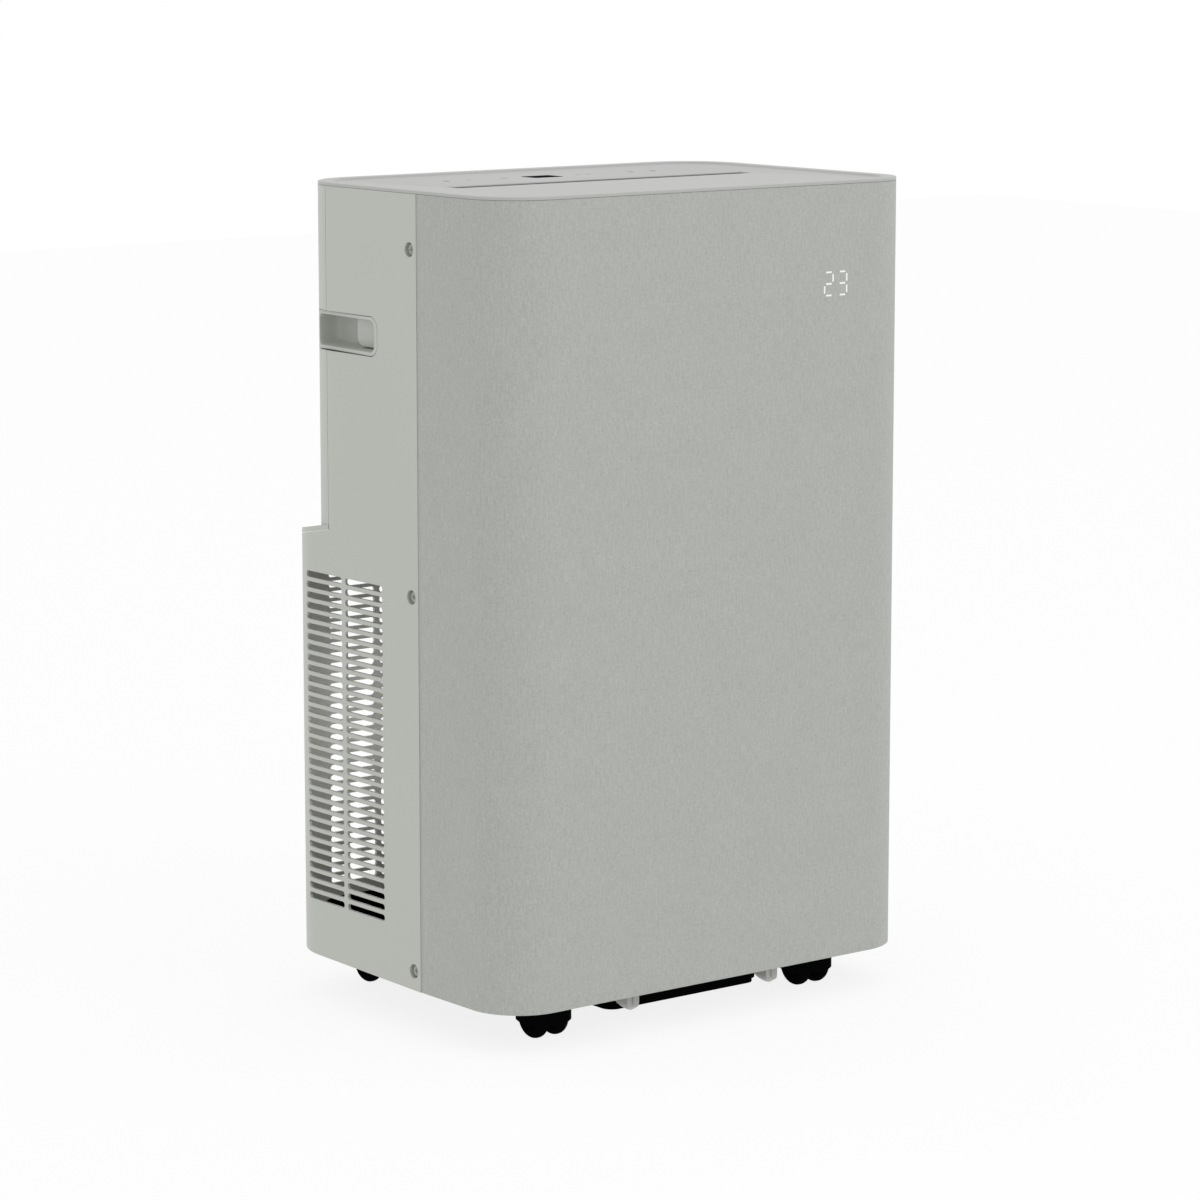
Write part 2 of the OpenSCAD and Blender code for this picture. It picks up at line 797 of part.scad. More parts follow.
module filter_door() {
    w = filter_half - door_gap;
    z0 = filter_z0 + 1.6;
    z1 = filter_z1 - door_gap;
    pitch = 9;
    columns = 3;
    column = (2 * w - 24 - (columns - 1) * 8) / columns;
    rows = floor((z1 - z0 - 30) / pitch);
    color([0.74, 0.75, 0.72]) {
        difference() {
            block([-w, upper_y - wall, z0], [w, upper_y, z1]);
            front_view(upper_y - wall - over, upper_y + over) {
                for (row = [0 : rows - 1], c = [0 : columns - 1])
                    translate([-w + 12 + c * (column + 8), z0 + 12 + row * pitch])
                        slot(column, slot_h);
                translate([-16, z1 - 9]) slot(32, 5);
            }
        }
        for (side = [0, 1]) mirror([side, 0, 0]) translate([0, hinge_y, hinge_z])
            rod_x(hinge_r, w - 8, filter_half + 4);
    }
}

module filter_mesh() {
    z0 = hinge_z + 3;
    z1 = filter_z1 - 16;
    y0 = upper_y - wall - 4.2;
    bars = 4;
    color([0.4, 0.42, 0.44]) {
        difference() {
            block([-mesh_half, y0, z0], [mesh_half, upper_y - wall, z1]);
            block([-mesh_half + 5, y0 - over, z0 + 5], [mesh_half - 5, upper_y, z1 - 5]);
        }
        block([-mesh_half + 4, y0 + 1.8, z0 + 4], [mesh_half - 4, y0 + 2.4, z1 - 4]);
        for (i = [1 : bars]) {
            x = -mesh_half + i * 2 * mesh_half / (bars + 1);
            block([x - 1, y0 + 0.6, z0 + 4], [x + 1, y0 + 3.4, z1 - 4]);
        }
    }
}

// ---- base, water and cooling unit ----------------------------------------

module base_pan() {
    rise = pan_top - pan_floor + pan_t;
    color([0.08, 0.08, 0.09]) difference() {
        union() {
            translate([0, 0, pan_floor - pan_t]) linear_extrude(rise) plan(pan_in, rear_y);
            translate([0, 0, sump_z + 3.5]) linear_extrude(pan_floor - sump_z - 3.5 - over)
                translate([sump_x - sump_half, sump_y0]) round_rect(2 * sump_half, sump_y1 - sump_y0, 12);
            translate([0, 0, sump_z]) linear_extrude(4)
                translate([sump_x - sump_half + 4, sump_y0]) round_rect(2 * sump_half - 8, sump_y1 - sump_y0 - 4, 10);
            for (side = [0, 1]) mirror([side, 0, 0]) {
                translate([0, 0, pan_floor - pan_t]) {
                    block([half_w - pan_in - over, 52, 0], [half_w - wall, 52 + tab_w, tab_h]);
                    block([52, front_y + shell_in, 0], [52 + tab_w, front_y + pan_in + over, tab_h]);
                    block([92, rear_y - pan_in - over, 0], [92 + tab_w, rear_y - wall, tab_h]);
                }
            }
            stem_bosses(9, hood_top + over, pan_floor);
            // skirt behind the drain recess, below the floor of the pan
            block([spigot_x - port_r - 2, rear_y - pan_in - pan_t, spigot_z - port_r - 2],
                  [spigot_x + port_r + 2, rear_y - pan_in, pan_floor]);
        }
        difference() {
            translate([0, 0, pan_floor]) linear_extrude(rise) plan(pan_in + pan_t, rear_y);
            stem_bosses(9, pan_floor - over, pan_floor + 20);
        }
        translate([0, 0, sump_z + 3]) linear_extrude(pan_floor)
            translate([sump_x - sump_half + pan_t + 1, sump_y0 + pan_t])
                round_rect(2 * sump_half - 2 * pan_t - 2, sump_y1 - sump_y0 - 2 * pan_t - 4, 8);
        stem_bosses(stem_r + run, hood_top, hood_top + stem_h + 1);
        translate([spigot_x, 0, spigot_z]) rod_y(spigot_bore, rear_y - pan_in - 2 * pan_t, rear_y);
    }
}

// Upright cylinders over the four swivels
module stem_bosses(r, z0, z1) {
    for (x = [-castor_x, castor_x], y = swivel_ys)
        translate([x, y, z0]) cylinder(r = r, h = z1 - z0);
}

module drain_spigot() {
    y0 = rear_y - pan_in;
    color([0.2, 0.2, 0.21]) translate([spigot_x, 0, spigot_z]) difference() {
        union() {
            rod_y(spigot_r + flange_rim, y0, y0 + 1.6);
            rod_y(spigot_r, y0, rear_y - 1.5);
        }
        rod_y(spigot_bore, y0 - over, rear_y);
    }
}

module drain_plug() {
    color([0.12, 0.12, 0.12]) translate([spigot_x, 0, spigot_z]) {
        rod_y(spigot_bore - run, rear_y - 13, rear_y - 1.2);
        rod_y(spigot_r - 0.5, rear_y - 1.2, rear_y);
    }
}

module cord_gland() {
    color([0.1, 0.1, 0.1]) translate([0, 0, gland_z]) difference() {
        union() {
            rod_y(gland_r + flange_rim, rear_y - 1.5, rear_y);
            rod_y(gland_r, rear_y - 14, rear_y - 1);
        }
        rod_y(cord_r, rear_y - 15, rear_y + over);
    }
}

// Fin pack of one coil at depth y
module coil_fins(y) {
    count = floor((2 * coil_half - 10) / fin_pitch);
    difference() {
        for (i = [0 : count]) translate([(i - count / 2) * fin_pitch, 0, 0])
            block([-fin_t / 2, y - coil_t / 2, coil_z0], [fin_t / 2, y + coil_t / 2, coil_z1]);
        for (row = [0 : tube_rows - 1]) translate([0, y, tube_z0 + row * tube_pitch])
            rod_x(tube_r, -coil_half, coil_half, $fn = 32);
    }
}

// One serpentine tube at depth y, both ends on the right
module coil_tubes(y) {
    turn = tube_pitch / 2;
    for (row = [0 : tube_rows - 1]) translate([0, y, tube_z0 + row * tube_pitch])
        rod_x(tube_r, -coil_half - 1, row == 0 || row == tube_rows - 1 ? stub_x : coil_half + 1, $fn = 32);
    for (row = [0 : tube_rows - 2]) mirror([row % 2 == 0 ? 1 : 0, 0, 0])
        translate([coil_half + 1, y, tube_z0 + row * tube_pitch + turn])
            rotate([90, 0, 0]) rotate([0, 0, -90])
                rotate_extrude(angle = 180, $fn = 48) translate([turn, 0]) circle(tube_r, $fn = 32);
}

module condenser_fins() { color([0.75, 0.76, 0.78]) coil_fins(cond_y); }
module evaporator_fins() { color([0.75, 0.76, 0.78]) coil_fins(evap_y); }
module condenser_tubes() { color([0.78, 0.45, 0.28]) coil_tubes(cond_y); }
module evaporator_tubes() { color([0.78, 0.45, 0.28]) coil_tubes(evap_y); }

module coil_end_plates() {
    color([0.7, 0.71, 0.72]) difference() {
        for (x = [-coil_half, coil_half - 1.5])
            block([x, cond_y - coil_t / 2 - 2, tray_z + 2], [x + 1.5, evap_back + 2, deck_z]);
        for (row = [0 : tube_rows - 1], y = [cond_y, evap_y])
            translate([0, y, tube_z0 + row * tube_pitch])
                rod_x(tube_r + snug, -half_w, half_w, $fn = 32);
    }
}

module drip_tray() {
    low = [-coil_half - 4, cond_y - coil_t / 2 - 6, tray_z];
    high = [coil_half + 4, evap_back + 6, tray_z + tray_h];
    color([0.15, 0.15, 0.16]) difference() {
        union() {
            block(low, high);
            for (x = [low[0] + 12, high[0] - 12], y = [low[1] + 6, high[1] - 6])
                translate([x, y, pan_floor]) cylinder(r = 5, h = tray_z - pan_floor + 1);
        }
        block(low + [2, 2, 2], high + [-2, -2, over]);
        translate([0, low[1] + 12, tray_z - over]) cylinder(r = 5, h = 4);
    }
}

module compressor() {
    color([0.1, 0.1, 0.11]) translate([comp_x, comp_y, 0]) {
        intersection() {
            translate([0, 0, comp_mid - comp_dome]) cylinder(r = comp_r, h = 2 * comp_dome);
            translate([0, 0, comp_mid]) sphere(comp_dome, $fn = 96);
        }
        translate([0, 0, plate_top - 3]) linear_extrude(3) for (a = [30, 150, 270]) rotate(a) {
            translate([0, -14]) square([foot_ring, 28]);
            translate([foot_ring, 0]) circle(14);
        }
        translate([-comp_r - 5, 6, accu_z - 10]) rod_x(8, 0, 12);
        translate([0, 0, comp_mid + comp_dome - 3]) cylinder(r = 8, h = 9);
        translate([22, 0, comp_mid + comp_dome - 8]) cylinder(r = 13, h = 14);
    }
}

module compressor_feet() {
    color([0.15, 0.15, 0.15]) translate([comp_x, comp_y, pan_floor])
        for (a = [30, 150, 270]) rotate(a) translate([foot_ring, 0, 0]) {
            cylinder(r = 9, h = 8);
            translate([0, 0, 7]) cylinder(r = 6.5, h = 8);
            translate([0, 0, 14]) cylinder(r = 9, h = plate_top - 3 - pan_floor - 14);
        }
}

module accumulator() {
    port_y = comp_y + 6;
    color([0.12, 0.12, 0.13]) {
        translate([accu_x, port_y, accu_z]) {
            cylinder(r = accu_r, h = accu_h);
            translate([0, 0, accu_h]) cylinder(r = 9, h = 6);
        }
        pipe([[accu_x, port_y, accu_z + 1], [accu_x, port_y, accu_z - 10],
              [comp_x - comp_r - 5, port_y, accu_z - 10]], 5);
    }
}

module discharge_pipe() {
    color([0.78, 0.45, 0.28]) pipe([
        [comp_x, comp_y, comp_mid + comp_dome + 6], [comp_x, comp_y, discharge_z],
        [riser_x, comp_y, discharge_z], [riser_x, cond_y, discharge_z],
        [riser_x, cond_y, tube_top], [stub_x, cond_y, tube_top]], 4);
}

module suction_pipe() {
    port_y = comp_y + 6;
    cross_y = evap_back + 42;
    color([0.78, 0.45, 0.28]) pipe([
        [stub_x, evap_y, tube_top], [stub_x + 8, evap_y, tube_top],
        [stub_x + 8, cross_y, tube_top], [accu_x, cross_y, tube_top],
        [accu_x, port_y, tube_top], [accu_x, port_y, accu_z + accu_h + 6]], 5);
}

module filter_drier() {
    color([0.7, 0.5, 0.3]) {
        pipe([[stub_x, cond_y, tube_z0], [drier_x, cond_y, tube_z0],
              [drier_x, cond_y, tube_z0 + 16]], 3);
        translate([drier_x, cond_y, tube_z0 + 15]) cylinder(r = 9, h = drier_h);
    }
}

module capillary_tube() {
    z = tube_z0 + 80;
    color([0.78, 0.45, 0.28]) pipe([
        [drier_x, cond_y, tube_z0 + 15 + drier_h], [drier_x, cond_y, z], [drier_x, evap_y, z],
        [drier_x, evap_y, tube_z0], [stub_x, evap_y, tube_z0]], 1.5);
}

// Bracket of the float that stops the unit when the sump is full
module float_bracket() {
    color([0.85, 0.85, 0.82]) translate([0, float_y, 0]) difference() {
        union() {
            for (x = [-9, 6]) block([x, -5, sump_z + 3], [x + 3, 5, float_z + 6]);
            block([-9, -5, sump_z + 3], [9, 5, sump_z + 5]);
            block([-9, -5, float_z + 4], [9, 5, float_z + 18]);
        }
        translate([0, 0, float_z]) rod_x(2 + run, -12, 12);
    }
}

module float() {
    color([0.9, 0.55, 0.2]) translate([0, float_y, float_z]) {
        rod_x(2, -9, 9);
        rod_x(3.4, -5, 5);
        block([-3, 0, -2], [3, 22, 2]);
        block([-14, 20, -11], [14, 44, 3]);
    }
}

module deck_panel() {
    color([0.2, 0.2, 0.21]) difference() {
        translate([0, 0, deck_z]) linear_extrude(deck_t) plan(deck_in, rear_y);
        block([-half_w + 32, front_y + 18, deck_z - over], [-5, cond_y - coil_t / 2 - 6, deck_top + over]);
    }
}

// ---- electrical ----------------------------------------------------------

module electrical_box() {
    color([0.78, 0.79, 0.8]) difference() {
        block([box_x[0], box_y[0], box_z[0]], [box_x[1], box_y[1], box_z[1]]);
        block([box_x[0] + box_t, box_y[0] + box_t, box_z[0] + box_t],
              [box_x[1] - box_t, box_y[1] + over, box_z[1] - box_t]);
        translate([box_x[0] + 20, (box_y[0] + box_y[1]) / 2, box_z[0] - over]) cylinder(r = 9, h = 6);
    }
}

module box_lid() {
    color([0.78, 0.79, 0.8])
        block([box_x[0], box_y[1], box_z[0]], [box_x[1], box_y[1] + 1.5, box_z[1]]);
}

module power_board() {
    y = box_y[0] + box_t + 6;
    color([0.1, 0.35, 0.2]) {
        block([box_x[0] + 8, y, box_z[0] + 45], [box_x[1] - 8, y + 1.6, box_z[1] - 8]);
        for (x = [box_x[0] + 14, box_x[1] - 14], z = [box_z[0] + 51, box_z[1] - 14])
            translate([x, 0, z]) rod_y(3, box_y[0] + box_t, y);
        block([box_x[0] + 20, y + 1, box_z[0] + 90], [box_x[0] + 52, y + 22, box_z[0] + 120]);
        block([box_x[0] + 66, y + 1, box_z[0] + 60], [box_x[0] + 90, y + 16, box_z[0] + 80]);
    }
}

module run_capacitor() {
    color([0.85, 0.85, 0.83]) translate([0, (box_y[0] + box_y[1]) / 2, box_z[0] + box_t + 18]) {
        rod_x(18, box_x[0] + 40, box_x[1] - 20);
        rod_x(4, box_x[1] - 21, box_x[1] - 12);
    }
}

// ---- castors -------------------------------------------------------------

// Round hood over both wheels, with a web between them and the swivel's stem
module castor_hood() {
    color([0.07, 0.07, 0.08]) difference() {
        union() {
            translate([0, trail, hood_low]) cylinder(r1 = hood_r - hood_wall, r2 = hood_r, h = hood_wall);
            translate([0, trail, hood_low + hood_wall])
                cylinder(r = hood_r, h = hood_top - hood_low - hood_wall);
            translate([0, 0, hood_top - 1]) cylinder(r = stem_r, h = stem_h + 1);
        }
        for (side = [0, 1]) mirror([side, 0, 0]) intersection() {
            translate([0, trail, wheel_r]) rod_x(wheel_r + hood_gap, web_half, hood_r);
            translate([0, trail, 0]) cylinder(r = hood_r - hood_wall, h = hood_top);
        }
        translate([0, trail, wheel_r]) rod_x(axle_r + run, -web_half - over, web_half + over);
    }
}

module castor_axle() {
    color([0.7, 0.71, 0.72]) translate([0, trail, wheel_r]) rod_x(axle_r, -axle_half, axle_half);
}

// Two wheels with round rims and a dished outer face
module castor_wheels() {
    flat_r = wheel_r - wheel_edge;
    color([0.09, 0.09, 0.1]) translate([0, trail, wheel_r]) for (side = [0, 1])
        mirror([side, 0, 0]) translate([wheel_gauge / 2, 0, 0]) rotate([0, 90, 0]) rotate_extrude()
            difference() {
                union() {
                    translate([axle_r, -wheel_w / 2]) square([flat_r - axle_r, wheel_w]);
                    translate([axle_r, -wheel_w / 2 + wheel_edge])
                        square([wheel_r - axle_r, wheel_w - 2 * wheel_edge]);
                    for (z = [-1, 1]) translate([flat_r, z * (wheel_w / 2 - wheel_edge)])
                        circle(wheel_edge, $fn = 32);
                }
                translate([wheel_hub, wheel_w / 2 - 1.2]) square([flat_r - wheel_hub - 2, 2]);
            }
}

// Places its children at one castor; left is -1 or 1, rear is 0 or 1
module at_castor(left, rear) {
    translate([-left * castor_x, swivel_ys[rear], 0]) children();
}

module castor_hood_front_left() { at_castor(1, 0) castor_hood(); }
module castor_axle_front_left() { at_castor(1, 0) castor_axle(); }
module castor_wheels_front_left() { at_castor(1, 0) castor_wheels(); }
module castor_hood_front_right() { at_castor(-1, 0) castor_hood(); }
module castor_axle_front_right() { at_castor(-1, 0) castor_axle(); }
module castor_wheels_front_right() { at_castor(-1, 0) castor_wheels(); }
module castor_hood_rear_left() { at_castor(1, 1) castor_hood(); }
module castor_axle_rear_left() { at_castor(1, 1) castor_axle(); }
module castor_wheels_rear_left() { at_castor(1, 1) castor_wheels(); }
module castor_hood_rear_right() { at_castor(-1, 1) castor_hood(); }
module castor_axle_rear_right() { at_castor(-1, 1) castor_axle(); }
module castor_wheels_rear_right() { at_castor(-1, 1) castor_wheels(); }

base_pan();
rear_housing();
upper_back_cover();
front_shell();
front_fabric();
top_plate();
control_window();
touch_icons();
control_board();
air_flap();
flap_motor();
handle_cup_left();
handle_cup_right();
side_screws();
display_digits();
display_board();
filter_door();
filter_mesh();
drain_spigot();
drain_plug();
cord_gland();
condenser_fins();
condenser_tubes();
evaporator_fins();
evaporator_tubes();
coil_end_plates();
drip_tray();
compressor();
compressor_feet();
accumulator();
discharge_pipe();
suction_pipe();
filter_drier();
capillary_tube();
float_bracket();
float();
electrical_box();
box_lid();
power_board();
run_capacitor();
deck_panel();
blower_housing();
fan_wheel();
fan_shaft();
fan_motor();
fan_bearing();
castor_hood_front_left();
castor_axle_front_left();
castor_wheels_front_left();
castor_hood_front_right();
castor_axle_front_right();
castor_wheels_front_right();
castor_hood_rear_left();
castor_axle_rear_left();
castor_wheels_rear_left();
castor_hood_rear_right();
castor_axle_rear_right();
castor_wheels_rear_right();
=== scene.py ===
"""Looks of a floor-standing room dehumidifier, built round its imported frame."""

from __future__ import annotations

import json
import logging
import math
from dataclasses import dataclass, field
from enum import Enum
from typing import Any, Iterable, Sequence

import bmesh
import bpy
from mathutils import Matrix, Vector

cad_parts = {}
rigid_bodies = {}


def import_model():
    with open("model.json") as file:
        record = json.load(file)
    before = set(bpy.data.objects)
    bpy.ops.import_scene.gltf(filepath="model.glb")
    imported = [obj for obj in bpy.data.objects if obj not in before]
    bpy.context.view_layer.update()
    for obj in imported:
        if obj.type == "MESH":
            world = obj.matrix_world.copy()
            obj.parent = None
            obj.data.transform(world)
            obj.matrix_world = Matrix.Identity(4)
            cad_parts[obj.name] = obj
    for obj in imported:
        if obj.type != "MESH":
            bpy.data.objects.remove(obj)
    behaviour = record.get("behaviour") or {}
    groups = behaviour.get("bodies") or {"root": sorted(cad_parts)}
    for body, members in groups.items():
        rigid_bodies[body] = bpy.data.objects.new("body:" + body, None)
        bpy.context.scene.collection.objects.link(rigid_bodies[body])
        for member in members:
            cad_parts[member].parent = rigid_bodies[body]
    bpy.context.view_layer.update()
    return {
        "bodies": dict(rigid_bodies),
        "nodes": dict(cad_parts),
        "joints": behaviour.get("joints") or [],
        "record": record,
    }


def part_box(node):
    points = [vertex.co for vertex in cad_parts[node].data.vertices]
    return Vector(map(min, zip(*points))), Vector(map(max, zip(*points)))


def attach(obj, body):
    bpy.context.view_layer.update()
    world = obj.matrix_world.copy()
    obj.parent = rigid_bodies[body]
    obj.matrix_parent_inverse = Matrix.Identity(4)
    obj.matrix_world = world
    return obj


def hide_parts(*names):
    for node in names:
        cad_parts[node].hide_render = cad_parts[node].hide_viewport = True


log = logging.getLogger("dehumidifier")

MM = 0.001
Ring = list[tuple[float, float, float]]
Point = tuple[float, float]


# ---- shader graphs -------------------------------------------------------


class Wire:
    """An output socket that adds Math nodes when it is used in an expression."""

    def __init__(self, graph: Graph, socket: bpy.types.NodeSocket) -> None:
        """Keeps the graph and the socket."""
        self.graph = graph
        self.socket = socket

    def _math(self, operation: str, *values: Wire | float) -> Wire:
        """Adds one Math node.

        Args:
            operation: the node's operation.
            values: its inputs in order.

        Returns:
            The node's result.
        """
        return self.graph.node("Math", {"operation": operation}, dict(enumerate(values)))

    def __add__(self, other: Wire | float) -> Wire:
        """Sum."""
        return self._math("ADD", self, other)

    __radd__ = __add__

    def __sub__(self, other: Wire | float) -> Wire:
        """Difference."""
        return self._math("SUBTRACT", self, other)

    def __rsub__(self, other: Wire | float) -> Wire:
        """Difference from a number on the left."""
        return self._math("SUBTRACT", other, self)

    def __mul__(self, other: Wire | float) -> Wire:
        """Product."""
        return self._math("MULTIPLY", self, other)

    __rmul__ = __mul__

    def __mod__(self, other: float) -> Wire:
        """Positive remainder."""
        return self._math("FLOORED_MODULO", self, other)

    def __gt__(self, other: Wire | float) -> Wire:
        """1 where this is greater, else 0."""
        return self._math("GREATER_THAN", self, other)

    def floor(self) -> Wire:
        """Whole part."""
        return self._math("FLOOR", self)

    def sine(self) -> Wire:
        """Sine, of radians."""
        return self._math("SINE", self)

    def size(self) -> Wire:
        """Absolute value."""
        return self._math("ABSOLUTE", self)


class Graph:
    """The node tree of one material."""

    def __init__(self, tree: bpy.types.NodeTree) -> None:
        """Keeps the tree that nodes are added to."""
        self.tree = tree

    def node(self, kind: str, settings: dict[str, Any] | None = None,
             values: dict[int | str, Any] | None = None, out: int | str = 0) -> Wire:
        """Adds a shader node.

        Args:
            kind: the type's name without its ShaderNode prefix.
            settings: attributes of the node, set before its sockets; "stops" fills a colour ramp.
            values: numbers, colours or wires for its input sockets.
            out: which output to return.

        Returns:
            The chosen output.
        """
        made = self.tree.nodes.new("ShaderNode" + kind)
        for key, value in (settings or {}).items():
            if key == "stops":
                self._stops(made.color_ramp, value)
            else:
                setattr(made, key, value)
        for key, value in (values or {}).items():
            if isinstance(value, Wire):
                self.tree.links.new(value.socket, made.inputs[key])
            else:
                made.inputs[key].default_value = value
        return Wire(self, made.outputs[out])

    @staticmethod
    def _stops(ramp: bpy.types.ColorRamp, stops: Sequence[tuple[float, float]]) -> None:
        """Sets a grey ramp from (position, value) pairs."""
        while len(ramp.elements) < len(stops):
            ramp.elements.new(1.0)
        for element, (place, value) in zip(ramp.elements, stops):
            element.position = place
            element.color = (value, value, value, 1.0)

    def place(self) -> Wire:
        """Position in the object's own frame, in metres."""
        return self.node("TexCoord", out="Object")

    def noise(self, at: Wire, scale: float, detail: float = 2.0) -> Wire:
        """Smooth noise from 0 to 1.

        Args:
            at: where it is read.
            scale: cells per metre of at.
            detail: octaves.

        Returns:
            The noise value.
        """
        return self.node("TexNoise", None, {"Vector": at, "Scale": scale, "Detail": detail})

    def stretch(self, at: Wire, factors: tuple[float, float, float]) -> Wire:
        """at, multiplied axis by axis."""
        return self.node("VectorMath", {"operation": "MULTIPLY"}, {0: at, 1: factors})

    def tint(self, low: Sequence[float], high: Sequence[float], mask: Wire) -> Wire:
        """Colour from low to high as mask goes from 0 to 1."""
        return self.node("Mix", {"data_type": "RGBA"},
                         {"Factor": mask, 6: (*low, 1.0), 7: (*high, 1.0)}, out=2)

    def bump(self, height: Wire, depth: float, normal: Wire | None = None) -> Wire:
        """Normal of a height field whose full swing is depth metres."""
        values: dict[int | str, Any] = {"Height": height, "Distance": depth, "Strength": 1.0}
        if normal is not None:
            values["Normal"] = normal
        return self.node("Bump", None, values)


def shade(colour: Sequence[float], factor: float) -> tuple[float, float, float]:
    """colour made lighter or darker by factor."""
    return tuple(min(1.0, c * factor) for c in colour)


@dataclass(frozen=True)
class Finish:
    """A plain surface with fine unevenness; the base of every finish."""

    name: str
    colour: tuple[float, float, float]
    roughness: float = 0.5
    metallic: float = 0.0
    specular: float = 0.5
    ior: float = 1.5

    def sockets(self, graph: Graph) -> dict[str, Any]:
        """Values for the shader's sockets.

        Args:
            graph: where nodes are added.

        Returns:
            Numbers or wires by socket name.
        """
        drift = graph.noise(graph.place(), 9.0)
        return {
            "Base Color": graph.tint(shade(self.colour, 0.97), shade(self.colour, 1.03), drift),
            "Roughness": self.roughness + (drift - 0.5) * 0.08,
        }

    def build(self) -> bpy.types.Material:
        """Makes the material."""
        material = bpy.data.materials.new(self.name)
        material.use_nodes = True
        shader = material.node_tree.nodes["Principled BSDF"]
        shader.inputs["Metallic"].default_value = self.metallic
        shader.inputs["Specular IOR Level"].default_value = self.specular
        shader.inputs["IOR"].default_value = self.ior
        graph = Graph(material.node_tree)
        for socket, value in self.sockets(graph).items():
            if isinstance(value, Wire):
                graph.tree.links.new(value.socket, shader.inputs[socket])
            else:
                shader.inputs[socket].default_value = value
        return material


@dataclass(frozen=True)
class Moulding(Finish):
    """Moulded plastic with a fine spark-eroded grain and soft edges."""

    grain: float = 0.35 * MM
    grain_depth: float = 0.006 * MM
    edge: float = 0.0

    def sockets(self, graph: Graph) -> dict[str, Any]:
        """Grain in the normal, slow drift in the colour and the roughness."""
        at = graph.place()
        drift = graph.noise(at, 6.0)
        speck = graph.noise(at, 1.0 / self.grain, 1.0)
        edge = None
        if self.edge:
            edge = graph.node("Bevel", {"samples": 6}, {"Radius": self.edge})
        return {
            "Base Color": graph.tint(shade(self.colour, 0.975), shade(self.colour, 1.025), drift),
            "Roughness": self.roughness + (drift - 0.5) * 0.06 + (speck - 0.5) * 0.08,
            "Normal": graph.bump(speck, self.grain_depth, edge),
        }


@dataclass(frozen=True)
class Cloth(Finish):
    """Plain-woven melange fabric, read along its own threads."""

    thread: float = 0.62 * MM
    depth: float = 0.07 * MM
    contrast: float = 0.10

    def sockets(self, graph: Graph) -> dict[str, Any]:
        """Crossing threads in the normal, melange yarn and slubs in the colour, and painted shade
        in the hollows between the threads.
        """
        at = graph.node("Attribute", {"attribute_name": FrontCover.THREADS}, out="Vector")
        split = graph.node("SeparateXYZ", None, {0: at}, out="X")
        across = split * (1.0 / self.thread)
        up = Wire(graph, split.socket.node.outputs["Y"]) * (1.0 / self.thread)
        over = (across.floor() + up.floor()) % 2.0
        warp = (across * math.pi).sine().size()
        weft = (up * math.pi).sine().size()
        height = over * warp * (0.55 + weft * 0.45) + (1.0 - over) * weft * (0.55 + warp * 0.45)
        yarn = graph.noise(graph.stretch(at, (700.0, 110.0, 1.0)), 1.0, 1.0)
        cross = graph.noise(graph.stretch(at, (160.0, 900.0, 1.0)), 1.0, 1.0)
        speck = graph.noise(at, 460.0, 1.0)
        streak = graph.noise(graph.stretch(at, (300.0, 26.0, 1.0)), 1.0, 1.0)
        cloud = graph.noise(at, 26.0, 2.0)
        fleck = graph.node("ValToRGB", {"stops": ((0.62, 0.0), (0.76, 1.0))},
                           {0: graph.noise(at, 480.0, 2.0)})
        # melange yarn tone plus painted shade: the height term darkens the colour in the hollows
        # between threads and lightens their crests
        melange_and_weave_shade = (0.52 + (yarn - 0.5) * 1.3 + (cross - 0.5) * 0.5 + (speck - 0.5) * 1.4
                + (streak - 0.5) * 0.35 + (cloud - 0.5) * 0.3 - fleck * 0.35
                + (height - 0.6) * 0.12)
        dark = shade(self.colour, 1.0 - self.contrast)
        light = shade(self.colour, 1.0 + self.contrast)
        return {
            "Base Color": graph.tint(dark, light, melange_and_weave_shade),
            "Roughness": 0.86 + (cloud - 0.5) * 0.06,
            "Normal": graph.bump(height + yarn * 0.35, self.depth),
            "Sheen Weight": 0.18,
        }


@dataclass(frozen=True)
class Metal(Finish):
    """Drawn or brushed metal with lines along one axis."""

    metallic: float = 1.0
    lines: tuple[float, float, float] = (1.0, 1.0, 40.0)

    def sockets(self, graph: Graph) -> dict[str, Any]:
        """Stretched noise in the colour, the roughness and the normal."""
        at = graph.place()
        line = graph.noise(graph.stretch(at, self.lines), 60.0)
        patch = graph.noise(at, 30.0)
        return {
            "Base Color": graph.tint(shade(self.colour, 0.86), shade(self.colour, 1.08), patch),
            "Roughness": self.roughness + (line - 0.5) * 0.2,
            "Normal": graph.bump(line, 0.02 * MM),
        }


@dataclass(frozen=True)
class Board(Finish):
    """Circuit board with faint tracks under the solder resist."""

    def sockets(self, graph: Graph) -> dict[str, Any]:
        """Blocky cells stand for copper areas."""
        cell = graph.node("TexVoronoi", {"distance": "CHEBYCHEV"},
                          {"Vector": graph.place(), "Scale": 260.0})
        track = cell > 0.42
        return {
            "Base Color": graph.tint(shade(self.colour, 0.7), shade(self.colour, 1.25), track),
            "Roughness": 0.32 + track * 0.1,
            "Normal": graph.bump(track, 0.03 * MM),
        }


@dataclass(frozen=True)
class Net(Finish):
    """Fine square net with painted shade in its holes, where the dark inside behind it would show.
    """

    pitch: float = 1.6 * MM

    def sockets(self, graph: Graph) -> dict[str, Any]:
        """Two rows of threads across the X and Z axes."""
        split = graph.node("SeparateXYZ", None, {0: graph.place()}, out="X")
        rows = Wire(graph, split.socket.node.outputs["Z"])
        wave = math.tau / self.pitch
        thread = ((split * wave).sine().size() > 0.8) + ((rows * wave).sine().size() > 0.8)
        solid = thread > 0.5
        return {
            # painted shade: the holes take a quarter of the net's colour
            "Base Color": graph.tint(shade(self.colour, 0.25), self.colour, solid),
            "Roughness": self.roughness + solid * 0.05,
            "Normal": graph.bump(solid, 0.2 * MM),
        }


